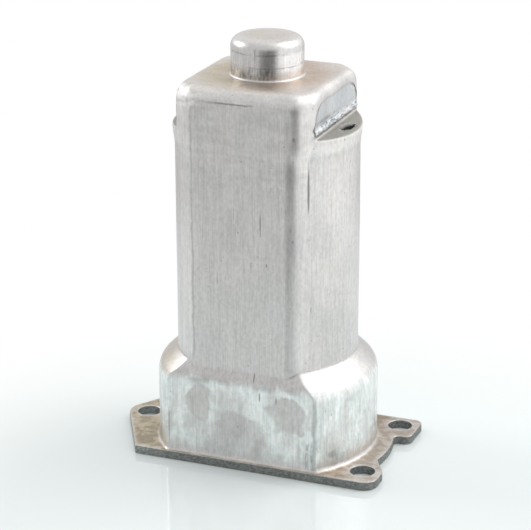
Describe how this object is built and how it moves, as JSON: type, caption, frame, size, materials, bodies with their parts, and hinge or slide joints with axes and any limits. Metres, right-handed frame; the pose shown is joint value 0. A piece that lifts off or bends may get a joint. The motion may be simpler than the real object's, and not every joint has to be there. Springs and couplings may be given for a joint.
{
  "type": "power window switch housing",
  "caption": "Deep drawn sheet metal can with two flat sides, a wider stepped base, a flange with screw ears, facets pressed into its head and a round bearing boss on its closed end.",
  "frame": {"origin": "on the can's axis, in the plane of the flange's underside", "axes": "+Z along the can's axis from the open mouth to the bearing boss, +Y out of the back flat, +X towards the pair of screw ears"},
  "size_m": [0.0669, 0.0366, 0.0958],
  "materials": {
    "zinc_plated_steel": "bright zinc plated, with fine drawing marks along the can and a mottled base"
  },
  "bodies": {
    "root": {"housing": "zinc_plated_steel"}
  },
  "joints": []
}
